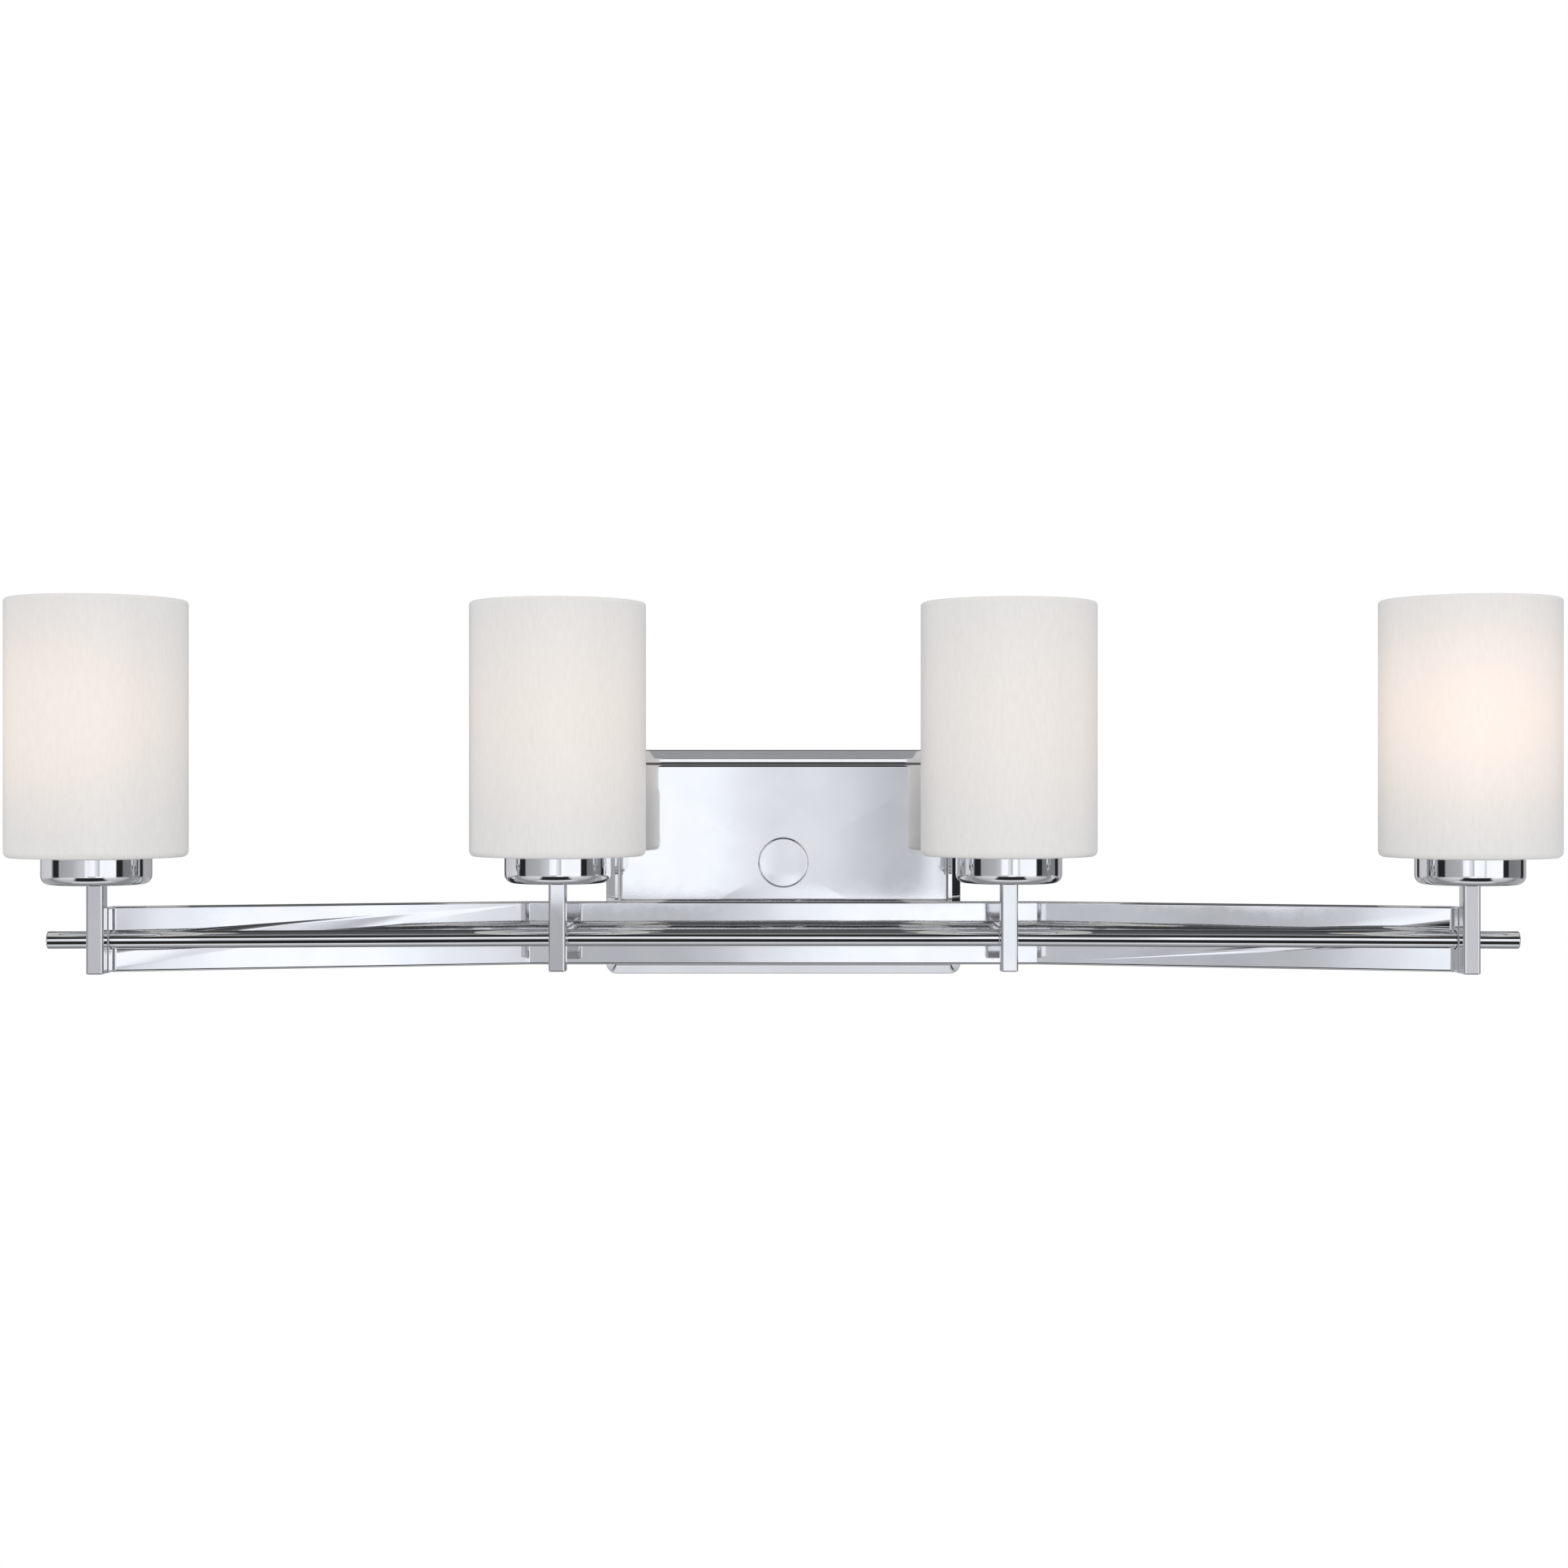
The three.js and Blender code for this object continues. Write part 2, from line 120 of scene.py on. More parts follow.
def rounded_square(half_x, half_y, corner, steps=6):
    """Points of a rounded rectangle about the origin, counter-clockwise."""
    support = SUPPORT * corner
    out = []
    for k, (sx, sy) in enumerate(((1, 1), (-1, 1), (-1, -1), (1, -1))):
        x, y = sx * (half_x - corner), sy * (half_y - corner)
        turns = [math.pi / 2 * (k + j / steps) for j in range(steps + 1)]
        arc = [Vector((x + corner * math.cos(a), y + corner * math.sin(a))) for a in turns]
        along = Vector((math.cos(turns[-1]), math.sin(turns[-1]))) * support
        back = Vector((math.cos(turns[0]), math.sin(turns[0]))) * support
        out += [arc[0] - along, *arc, arc[-1] - back]
    return [(p.x, p.y) for p in out]


# ---------------------------------------------------------------- meshes
# Where a point lies that is a and b across an axis and h along it.
AXES = {
    "Y": lambda a, b, h: (a, h, b),
    "Z": lambda a, b, h: (a, b, h),
}


def to_object(name, bm, crease=CREASE):
    """A finished mesh object, smooth except across edges sharper than crease degrees."""
    bmesh.ops.remove_doubles(bm, verts=bm.verts, dist=1e-7)
    bmesh.ops.recalc_face_normals(bm, faces=bm.faces)
    mesh = bpy.data.meshes.new(name)
    bm.to_mesh(mesh)
    bm.free()
    mesh.shade_smooth()
    mesh.set_sharp_from_angle(angle=math.radians(crease))
    obj = bpy.data.objects.new(name, mesh)
    bpy.context.scene.collection.objects.link(obj)
    return obj


def skin(bm, rings, loop):
    """Faces between neighbouring rings. A ring of one point is a pole."""
    pairs = list(zip(rings, rings[1:]))
    if loop:
        pairs.append((rings[-1], rings[0]))
    for a, b in pairs:
        n = max(len(a), len(b))
        for i in range(n):
            j = (i + 1) % n
            corners = [a[i % len(a)], a[j % len(a)], b[j % len(b)], b[i % len(b)]]
            face = list(dict.fromkeys(corners))
            if len(face) > 2:
                bm.faces.new(face)


def lathe(name, profile, at, axis="Z", sides=96, closed=True, scallop=None, crease=CREASE):
    """Revolves (radius, height) points about an axis that passes through at.

    scallop is (count, depth, inner radius): grip notches cut in everything outside the inner radius.
    """
    place = AXES[axis]
    notches, notch_depth, notched_from = scallop or (0, 0, math.inf)
    bm = bmesh.new()
    rings = []
    for r, h in profile:
        if r < 1e-6:
            rings.append([bm.verts.new(Vector(place(0, 0, h)) + at)])
            continue
        ring = []
        for k in range(sides):
            a = 2 * math.pi * k / sides
            reach = r
            if r > notched_from * MM:
                reach -= notch_depth * MM * max(0, math.cos(notches * a)) ** 2
            ring.append(bm.verts.new(Vector(place(reach * math.cos(a), reach * math.sin(a), h)) + at))
        rings.append(ring)
    skin(bm, rings, closed)
    return to_object(name, bm, crease)


def loft(name, rings, crease=CREASE, caps=True):
    """Joins rings of points, in metres, and either closes both ends or joins the last ring to the first."""
    bm = bmesh.new()
    made = [[bm.verts.new(p) for p in ring] for ring in rings]
    skin(bm, made, not caps)
    if caps:
        bm.faces.new(made[0])
        bm.faces.new(made[-1])
    return to_object(name, bm, crease)


def cut_away(obj, cutter):
    """Subtracts cutter from obj and removes the cutter."""
    modifier = obj.modifiers.new("cut", "BOOLEAN")
    modifier.operation = "DIFFERENCE"
    modifier.solver = "EXACT"
    modifier.object = cutter
    view = bpy.context.evaluated_depsgraph_get()
    view.update()
    mesh = bpy.data.meshes.new_from_object(obj.evaluated_get(view))
    obj.modifiers.clear()
    obj.data = mesh
    mesh.shade_smooth()
    mesh.set_sharp_from_angle(angle=math.radians(CREASE))
    bpy.data.objects.remove(cutter)
    return obj


def nut(name, at, axis, flat_radius, hole, low, high):
    """A hexagonal nut with rounded-off corners, from low to high along its axis, in millimetres."""
    place = AXES[axis]
    sides = 72
    chamfer = 0.12 * (high - low)
    face_radius = 0.98 * flat_radius
    past_corners = 1.2 * flat_radius

    def ring(limit, h):
        out = []
        for k in range(sides):
            a = 2 * math.pi * k / sides
            off_flat = (a % (math.pi / 3)) - math.pi / 6
            r = min(flat_radius / math.cos(off_flat), limit) * MM
            out.append(Vector(place(r * math.cos(a), r * math.sin(a), h * MM)) + at)
        return out

    rings = [
        ring(hole, low),
        ring(face_radius, low),
        ring(past_corners, low + chamfer),
        ring(past_corners, high - chamfer),
        ring(face_radius, high),
        ring(hole, high),
    ]
    return loft(name, rings, caps=False)


def fit_out(obj, body, node, material):
    """Puts a piece on its body, in place of its CAD node and its finish."""
    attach(obj, body)
    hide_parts(node)
    obj.data.materials.clear()
    obj.data.materials.append(material)
    return obj


# ---------------------------------------------------------------- finishes
NOISE_LOW, NOISE_HIGH = 0.3, 0.7  # most of a noise texture lies between these


def map_range(tree, value, start, end, low=0.0, high=1.0, curve="LINEAR"):
    """Maps a value between start and end to one between low and high, and holds it there outside them."""
    node = tree.nodes.new("ShaderNodeMapRange")
    node.interpolation_type = curve
    for name, number in (("From Min", start), ("From Max", end), ("To Min", low), ("To Max", high)):
        node.inputs[name].default_value = number
    tree.links.new(value, node.inputs["Value"])
    return node.outputs["Result"]


class Finish:
    """A material with its principled shader, and short ways to add procedural detail to it."""

    def __init__(self, name, roughness=0.3, metallic=0.0):
        self.material = bpy.data.materials.new(name)
        self.material.use_nodes = True
        self.tree = self.material.node_tree
        self.shader = self.tree.nodes["Principled BSDF"]
        self.shader.inputs["Roughness"].default_value = roughness
        self.shader.inputs["Metallic"].default_value = metallic
        self.coords = self.tree.nodes.new("ShaderNodeTexCoord").outputs["Object"]

    def node(self, kind, **values):
        node = self.tree.nodes.new(kind)
        for name, value in values.items():
            setattr(node, name, value)
        return node

    def link(self, output, target):
        self.tree.links.new(output, target)

    def stretched(self, stretch):
        """The coordinates scaled along each axis."""
        mapping = self.node("ShaderNodeMapping")
        mapping.inputs["Scale"].default_value = stretch
        self.link(self.coords, mapping.inputs["Vector"])
        return mapping.outputs["Vector"]

    def noise(self, scale, detail=3.0, stretch=(1, 1, 1)):
        texture = self.node("ShaderNodeTexNoise")
        texture.inputs["Scale"].default_value = scale
        texture.inputs["Detail"].default_value = detail
        self.link(self.stretched(stretch), texture.inputs["Vector"])
        return texture.outputs["Fac"]

    def color(self, value, dark, light):
        """Goes from the dark to the light colour as the value rises."""
        ramp = self.node("ShaderNodeValToRGB")
        ramp.color_ramp.elements[0].position = NOISE_LOW
        ramp.color_ramp.elements[1].position = NOISE_HIGH
        ramp.color_ramp.elements[0].color = (*dark, 1)
        ramp.color_ramp.elements[1].color = (*light, 1)
        self.link(value, ramp.inputs["Fac"])
        self.link(ramp.outputs["Color"], self.shader.inputs["Base Color"])

    def roughness(self, value, low, high):
        """Goes from low to high roughness as the value rises."""
        rough = map_range(self.tree, value, NOISE_LOW, NOISE_HIGH, low, high)
        self.link(rough, self.shader.inputs["Roughness"])

    def glow(self, strength, color):
        """Light given off by the surface itself."""
        self.link(strength, self.shader.inputs["Emission Strength"])
        self.shader.inputs["Emission Color"].default_value = (*color, 1)

    def coat(self, weight, roughness):
        """A clear layer over the surface."""
        self.shader.inputs["Coat Weight"].default_value = weight
        self.shader.inputs["Coat Roughness"].default_value = roughness

    def bump(self, *layers):
        """Stacks bumps, each a (height value, depth in metres)."""
        normal = None
        for value, depth in layers:
            bump = self.node("ShaderNodeBump")
            bump.inputs["Distance"].default_value = depth
            self.link(value, bump.inputs["Height"])
            if normal:
                self.link(normal, bump.inputs["Normal"])
            normal = bump.outputs["Normal"]
        self.link(normal, self.shader.inputs["Normal"])


def chrome(name, swell=0.0, painted_darkening=1.0):
    """Polished chrome: faint haze and fine rubbing marks, and on large pieces a slow swell. A darkening
    factor under 1 dims the colour all over, a painted shade that greys what the piece mirrors.
    """
    made = Finish(name, metallic=1.0)
    hazy = [painted_darkening * part for part in (0.88, 0.885, 0.9)]
    clear = [painted_darkening * part for part in (0.93, 0.935, 0.945)]
    made.color(made.noise(45, 2), hazy, clear)
    made.roughness(made.noise(160, 4), 0.025, 0.06)
    layers = [(made.noise(1400, 3), 0.0000025)]
    if swell:
        layers.append((made.noise(16, 1.2), swell))
    made.bump(*layers)
    return made.material


# The shades' glow is painted light: emission on the glass that stands in for the lamp shining through it.
GLOW_REACH = 0.09  # how far up the glass the lamp's glow reaches, in metres
GLOW_SQUEEZE = (0.75, 0.45, 1.0)  # under 1 the glow reaches further along that axis


def opal_glass(name, glow_place, strength):
    """Satin opal glass with a painted glow: emission that stands in for the lamp's warm light through the
    glass, strongest at glow_place.
    """
    made = Finish(name, roughness=0.42)
    made.coat(0.12, 0.3)
    made.color(made.noise(700, 4, (1, 1, 0.2)), (0.774, 0.762, 0.746), (0.811, 0.798, 0.782))
    made.bump((made.noise(900, 3), 0.00001), (made.noise(22, 1.5), 0.00008))
    away = made.node("ShaderNodeVectorMath", operation="SUBTRACT")
    away.inputs[1].default_value = glow_place
    made.link(made.coords, away.inputs[0])
    squeezed = made.node("ShaderNodeVectorMath", operation="MULTIPLY")
    squeezed.inputs[1].default_value = GLOW_SQUEEZE
    made.link(away.outputs["Vector"], squeezed.inputs[0])
    reach = made.node("ShaderNodeVectorMath", operation="LENGTH")
    made.link(squeezed.outputs["Vector"], reach.inputs[0])
    painted_glow_strength = map_range(made.tree, reach.outputs["Value"], 0.0, GLOW_REACH, strength, 0.0, "SMOOTHERSTEP")
    made.glow(painted_glow_strength, (1.0, 0.58, 0.34))
    return made.material


def frosted_bulb():
    """Frosted glass, lit from inside and brightest at the crown."""
    made = Finish("frosted_bulb_glass", roughness=0.35)
    neck, crown = 0.03, 0.085
    made.color(made.noise(60, 2), (0.9, 0.87, 0.8), (0.96, 0.93, 0.87))
    made.bump((made.noise(2200, 2), 0.000004))
    height = made.node("ShaderNodeSeparateXYZ")
    made.link(made.coords, height.inputs["Vector"])
    made.glow(map_range(made.tree, height.outputs["Z"], neck, crown, 1.6, 3.2), (1.0, 0.8, 0.55))
    return made.material


def porcelain():
    """Cream porcelain under a clear glaze."""
    made = Finish("glazed_porcelain", roughness=0.2)
    made.coat(0.5, 0.06)
    made.color(made.noise(70, 4), (0.79, 0.77, 0.71), (0.86, 0.845, 0.8))
    made.bump((made.noise(180, 2), 0.00003))
    return made.material


def metal(name, dark, light, smooth, rough, grain, stretch=(1, 1, 1)):
    """Bare or plated metal with a fine grain."""
    made = Finish(name, metallic=1.0)
    made.color(made.noise(grain / 4, 4, stretch), dark, light)
    made.roughness(made.noise(grain, 5, stretch), smooth, rough)
    made.bump((made.noise(grain * 2, 4, stretch), 0.000012))
    return made.material


def zinc_plate():
    """Clear zinc plate: small crystal patches, slightly blue and yellow."""
    made = Finish("zinc_plated_steel", metallic=1.0)
    cells = made.node("ShaderNodeTexVoronoi")
    cells.inputs["Scale"].default_value = 420
    made.link(made.coords, cells.inputs["Vector"])
    grey = made.node("ShaderNodeSeparateColor")
    made.link(cells.outputs["Color"], grey.inputs["Color"])
    made.color(grey.outputs["Red"], (0.5, 0.52, 0.56), (0.66, 0.65, 0.6))
    made.roughness(grey.outputs["Green"], 0.3, 0.46)
    made.bump((made.noise(700, 4), 0.00002))
    return made.material


def dyed_screw():
    """Steel dyed green, as ground screws are."""
    made = Finish("green_dyed_steel", metallic=0.7)
    made.color(made.noise(500, 4), (0.03, 0.24, 0.09), (0.06, 0.36, 0.15))
    made.roughness(made.noise(900, 3), 0.28, 0.42)
    made.bump((made.noise(1500, 3), 0.00001))
    return made.material


def dark_insulator():
    """The black glass between a bulb's cap and its tip."""
    made = Finish("black_glass_insulator", roughness=0.2)
    made.color(made.noise(300, 3), (0.012, 0.012, 0.014), (0.03, 0.03, 0.034))
    made.bump((made.noise(500, 2), 0.00002))
    return made.material


plain_chrome = chrome("polished_chrome")
# The stems get a darker copy of the same chrome: painted shade, so that they mirror the studio greyer.
shaded_stem_chrome = chrome("shaded_stem_chrome", painted_darkening=0.88)
plate_chrome = chrome("polished_chrome_sheet", swell=0.00012)
band_chrome = chrome("polished_chrome_band", swell=0.0003)
zinc = zinc_plate()
brass = metal("bright_brass", (0.66, 0.47, 0.2), (0.82, 0.62, 0.3), 0.18, 0.32, 900)
cap_metal = metal("rolled_aluminium", (0.66, 0.66, 0.66), (0.8, 0.8, 0.8), 0.22, 0.36, 1200, (1, 1, 8))
glaze = porcelain()
green_steel = dyed_screw()
bulb_glass = frosted_bulb()
insulator = dark_insulator()


# ---------------------------------------------------------------- backplate and what holds it
# In millimetres.
SHEET = 1.2  # wall of the pan
HOLE = 5.3  # radius of the hole for the nipple, in the pan and the crossbar
STEP_IN = 8.1  # from the pan's edge in to the side of its raised middle
POST_SHANK = 3.2  # radius of the thread behind each post
STUD_HOLE = 3.8  # radius of the hole for the stud, in the stem, the cup and the socket


def plate_ring(half_x, half_z, inset, y):
    """A rectangle with rounded corners, inset from the pan's edge."""
    outline = rounded_square(half_x - inset, half_z - inset, corner_at(inset))
    return [Vector((x, y, z)) * MM for x, z in outline]


def toward_hole(ring, share, y):
    """The ring that is a share of the way from a rectangular ring to the round centre hole."""
    out = []
    for p in ring:
        a = math.atan2(p.z, p.x)
        x = p.x + (HOLE * MM * math.cos(a) - p.x) * share
        z = p.z + (HOLE * MM * math.sin(a) - p.z) * share
        out.append(Vector((x, y * MM, z)))
    return out


def corner_at(inset):
    """The radius of the pan's corners, at a distance in from its edge."""
    if inset < STEP_IN - 1.1:
        return max(6.5 - inset, 1.2)
    return max(13 - inset, 2.0)


def backplate():
    """A pan with a rim, a sloping edge and a raised middle, whose face is slightly crowned."""
    extent = size("backplate") / MM
    half_x, half_z, front = extent.x / 2, extent.z / 2, -extent.y
    crown = 0.35
    face = front + crown
    back = face + SHEET
    step_inside = STEP_IN + SHEET
    face_edge = 13
    # Corners are (distance in from the pan's edge, y, radius).
    outside = rounded([
        (0, 0, 0), (0, -12, 1.0), (5.5, -15, 0.8), (STEP_IN, -15.2, 0.7),
        (STEP_IN, face, 2.6), (face_edge, face, 0),
    ], closed=False)
    inside = rounded([
        (SHEET, 0, 0), (SHEET, -11.3, 0.4), (6.0, -13.8, 0.4), (step_inside, -13.9, 0.4),
        (step_inside, back, 1.4), (face_edge, back, 0),
    ], closed=False)
    inner = [plate_ring(half_x, half_z, p.x / MM, p.y / MM) for p in reversed(inside)]
    outer = [plate_ring(half_x, half_z, p.x / MM, p.y / MM) for p in outside]
    shares = [0.04, 0.12, 0.25, 0.4, 0.55, 0.7, 0.82, 0.92, 1.0]
    inner_face = [toward_hole(inner[0], s, back) for s in reversed(shares)]
    outer_face = [toward_hole(outer[-1], s, face - crown * (1 - (1 - s) ** 2)) for s in shares]
    return loft("backplate_pan", inner_face + inner + outer + outer_face, crease=28, caps=False)


def knob():
    """A thick disc with a slightly domed face and a bore in its back for the nipple."""
    at, crown, base = along_y("center_knob")
    radius = size("center_knob").x / 2 / MM
    edge, rise, bore, bore_depth = 1.1, 0.12, 5.7, 5
    face = [((radius - 1) * k / 10, crown + rise * (k / 10) ** 2, 0) for k in range(10)]
    profile = rounded(face + [
        (radius, crown + rise, edge), (radius, base, 0.4), (bore, base, 0.2),
        (bore, base - bore_depth, 0), (0, base - bore_depth, 0),
    ], closed=False)
    return lathe("center_knob_dome", profile, at, "Y", closed=False, sides=128)


def post(side):
    """A turned post with a collar at each end, and behind its shoulder a threaded shank."""
    at, front, shank_end = along_y(f"{side}_post")
    shoulder = -size("backplate").y / MM - GAP
    collar, body = 6, 5.4
    profile = rounded([
        (0, front, 0), (collar, front, 0.4), (collar, front + 2.2, 0.3), (body, front + 2.6, 0.3),
        (body, shoulder - 2.6, 0.3), (collar, shoulder - 2.2, 0.3), (collar, shoulder, 0.3),
        (POST_SHANK, shoulder, 0), *thread(POST_SHANK, shoulder + 0.4, shank_end - 0.4, 0.8, 0.35),
        (POST_SHANK - 0.6, shank_end, 0), (0, shank_end, 0),
    ], closed=False)
    return lathe(f"{side}_post_turned", profile, at, "Y", sides=64, closed=False)


def nipple():
    at, front, back = along_y("nipple")
    radius, chamfered = 4.75, 4.1
    profile = rounded([
        (0, front, 0), (chamfered, front, 0), *thread(radius, front + 0.6, back - 0.6, 0.94, 0.45),
        (chamfered, back, 0), (0, back, 0),
    ], closed=False)
    return lathe("threaded_nipple", profile, at, "Y", sides=56, closed=False)


def crossbar():
    """A flat strap with bevelled edges: a hole for the nipple, one for the ground screw, and two slots."""
    low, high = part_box("crossbar")
    curve = bpy.data.curves.new("crossbar_outline", "CURVE")
    curve.dimensions = "2D"
    curve.fill_mode = "BOTH"
    bevel = 0.25
    thick = (high.y - low.y) / MM
    half_x, half_z = (high.x - low.x) / 2 / MM, (high.z - low.z) / 2 / MM
    screw_x, screw_hole = 20, 2.4
    slot_x, slot_half_length, slot_half_width = 39, 9.4, 2.4

    def spline(points):
        line = curve.splines.new("POLY")
        line.points.add(len(points) - 1)
        for target, (x, y) in zip(line.points, points):
            target.co = (x * MM, y * MM, 0, 1)
        line.use_cyclic_u = True

    def circle(x, radius, steps):
        turns = [2 * math.pi * k / steps for k in range(steps)]
        return [(x + radius * math.cos(a), radius * math.sin(a)) for a in turns]

    spline(rounded_square(half_x - bevel, half_z - bevel, 3 - bevel))
    spline(circle(0, HOLE + bevel, 40))
    spline(circle(screw_x, screw_hole + bevel, 24))
    half_length, half_width = slot_half_length + bevel, slot_half_width + bevel
    slot = rounded_square(half_length, half_width, half_width - 0.01)
    for middle in (-slot_x, slot_x):
        spline([(x + middle, y) for x, y in slot])
    curve.extrude = (thick / 2 - bevel) * MM
    curve.bevel_depth = bevel * MM
    curve.bevel_resolution = 1
    flat = bpy.data.objects.new("crossbar_flat", curve)
    bpy.context.scene.collection.objects.link(flat)
    bpy.context.view_layer.update()
    mesh = bpy.data.meshes.new_from_object(flat)
    bpy.data.objects.remove(flat)
    bm = bmesh.new()
    bm.from_mesh(mesh)
    for vert in bm.verts:
        x, y, z = vert.co
        vert.co = (x, (low.y + high.y) / 2 - z, y)
    return to_object("crossbar_strap", bm)


def ground_screw():
    """A round-headed screw with a slot across its head."""
    at, front, end = along_y("ground_screw")
    seat = front + 2.4
    head, shank = 4.2, 2
    profile = rounded([
        (0, front, 0), (2.2, front + 0.15, 1.0), (head, front + 1.3, 0.8), (head, seat, 0.2),
        (shank, seat, 0), *thread(shank, seat + 0.2, end - 0.1, 0.8, 0.3),
        (shank - 0.4, end, 0), (0, end, 0),
    ], closed=False)
    screw = lathe("ground_screw_head", profile, at, "Y", sides=48, closed=False)
    half_length, half_width, slot_depth = 5, 0.45, 1.0
    corners = [
        (-half_length, -half_width), (half_length, -half_width),
        (half_length, half_width), (-half_length, half_width),
    ]
    rings = [[Vector((x, y, z)) * MM + at for x, z in corners] for y in (front - 1, front + slot_depth)]
    return cut_away(screw, loft("screw_slot", rings))


def nut_on_y(node, flat_radius, hole):
    """A nut whose axis lies along Y, in the place of its CAD node."""
    at, low, high = along_y(node)
    return nut(f"{node}_hex", at, "Y", flat_radius, hole, low, high)


fit_out(backplate(), "root", "backplate", plate_chrome)
fit_out(knob(), "knob", "center_knob", plain_chrome)
fit_out(nipple(), "root", "nipple", zinc)
fit_out(crossbar(), "root", "crossbar", zinc)
fit_out(ground_screw(), "root", "ground_screw", green_steel)
lock_nut = nut_on_y("nipple_lock_nut", size("nipple_lock_nut").z / 2 / MM, hole=5.2)
fit_out(lock_nut, "root", "nipple_lock_nut", zinc)
for side in ("left", "right"):
    fit_out(post(side), "root", f"{side}_post", plain_chrome)
    node = f"{side}_post_nut"
    post_nut = nut_on_y(node, size(node).z / 2 / MM, hole=POST_SHANK + GAP)
    fit_out(post_nut, "root", node, zinc)


# ---------------------------------------------------------------- band, rod and standoffs
def flat_band():
    """A strip bent into three flat runs, with a tab turned forward at each end, holed for the rod."""
    low, high = (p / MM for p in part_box("flat_band"))
    thick, edge = 4.0, 1.3
    half, half_height = thick / 2, (high.z - low.z) / 2
    middle_y, end_y = high.y - half, -94.7
    bend_x, tab_x = 152.7, high.x - half
    right = [(bend_x, middle_y, 5), (tab_x, end_y, 3.4), (tab_x, low.y, 0)]
    left = [(-x, y, r) for x, y, r in reversed(right)]
    path = rounded(left + right, closed=False, steps=8)
    section = rounded([
        (-half, -half_height, edge), (half, -half_height, edge),
        (half, half_height, edge), (-half, half_height, edge),
    ], steps=4)
    height = (low.z + high.z) / 2 * MM
    rings = []
    for i, p in enumerate(path):
        ahead = (path[min(i + 1, len(path) - 1)] - p).normalized()
        behind = (p - path[max(i - 1, 0)]).normalized()
        along = (ahead + behind).normalized()
        across = Vector((-along.y, along.x))
        # At a bend the section lies between the two runs, so it is widened to keep their thickness.
        facing = across.dot(Vector((-ahead.y, ahead.x))) if ahead.length else 1
        widen = 1 / max(facing, 0.7)
        ring = []
        for q in section:
            out = across * (q.x * widen)
            ring.append(Vector((p.x + out.x, p.y + out.y, height + q.y)))
        rings.append(ring)
    band = loft("flat_band_strip", rings)
    path, radius = rod_path()
    air = 0.6
    return cut_away(band, bent_bar("rod_clearance", path, radius + air))


def rod_path():
    """The rod's axis in plan, in metres, and its radius, in millimetres.

    It runs straight between the standoffs, and from each of them an arm leans forward to the rod's end.
    """
    low, high = (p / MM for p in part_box("cross_rod"))
    radius = (high.z - low.z) / 2
    bend = Vector((centre("right_standoff").x / MM, high.y - radius))
    end = Vector((high.x, low.y + radius))
    lean = (end - bend).normalized()
    end += Vector((radius * lean.y, radius * (lean.x - 1)))
    bend_radius = 12
    right = [(bend.x, bend.y, bend_radius), (end.x, end.y, 0)]
    left = [(-x, y, r) for x, y, r in reversed(right)]
    return rounded(left + right, closed=False), radius


def bent_bar(name, path, radius, ends=((0.0, 0.0),)):
    """A round bar along a path in plan, whose ends may be rounded over.

    ends is a (distance in from the end, radius lost) pair for each ring at an end.
    """
    height = centre("cross_rod").z
    stations = []
    for i, p in enumerate(path):
        along = (path[min(i + 1, len(path) - 1)] - path[max(i - 1, 0)]).normalized()
        stations.append((p, along, radius))
    first, first_along, _ = stations[0]
    last, last_along, _ = stations[-1]
    head = [(first + first_along * step * MM, first_along, radius - lost) for step, lost in ends]
    tail = [(last - last_along * step * MM, last_along, radius - lost) for step, lost in reversed(ends)]
    sides = 64
    rings = []
    for p, along, reach in head + stations[1:-1] + tail:
        ring = []
        for k in range(sides):
            a = 2 * math.pi * k / sides
            across, up = reach * math.cos(a) * MM, reach * math.sin(a) * MM
            ring.append(Vector((p.x - along.y * across, p.y + along.x * across, height + up)))
        rings.append(ring)
    return loft(name, rings)


def rod():
    """The round rod, with the edge of each end rounded over."""
    path, radius = rod_path()
    edge = 0.8
    quarter = [math.pi / 2 * k / 5 for k in range(6)]
    ends = [(edge * (1 - math.sin(a)), edge * (1 - math.cos(a))) for a in reversed(quarter)]
    return bent_bar("cross_rod_bar", path, radius, ends + [(edge + 0.1, 0.0)])


def standoff(side):
    """A short bar from the rod back to the band."""
    node = f"{side}_standoff"
    at, front, back = along_y(node)
    radius = size(node).x / 2 / MM
    profile = rounded([
        (0, front, 0), (radius, front, 0.2), (radius, back - 1.2, 0.6), (radius - 0.9, back, 0.3),
        (0, back, 0),
    ], closed=False)
    return lathe(f"{side}_standoff_bar", profile, at, "Y", sides=64, closed=False)


fit_out(flat_band(), "root", "flat_band", band_chrome)
fit_out(rod(), "root", "cross_rod", plain_chrome)
for side in ("left", "right"):
    fit_out(standoff(side), "root", f"{side}_standoff", plain_chrome)


# ---------------------------------------------------------------- the four lights
# Each function takes the new piece's name, its CAD node and the place where its light's axis meets z = 0.
def stem(name, node, at):
    """A square bar with rounded edges and bevelled ends, bored in its top for the stud."""
    low, high = along_z(node)
    half, corner, bore_depth = 5.0, 1.5, 12.0
    bevels = (
        (0.5, low), (0.15, low + 0.15), (0, low + 0.5), (0, low + 0.6),
        (0, high - 0.5), (0, high - 0.4), (0.4, high),
    )
    rings = []
    for inset, z in bevels:
        outline = rounded_square(half - inset, half - inset, corner - inset / 2)
        rings.append([Vector((x, y, z)) * MM + at for x, y in outline])
    angles = [math.atan2(y, x) for x, y in rounded_square(half, half, corner)]
    for z in (high, high - bore_depth):
        bore = [(STUD_HOLE * math.cos(a), STUD_HOLE * math.sin(a), z) for a in angles]
        rings.append([Vector(p) * MM + at for p in bore])
    return loft(name, rings)


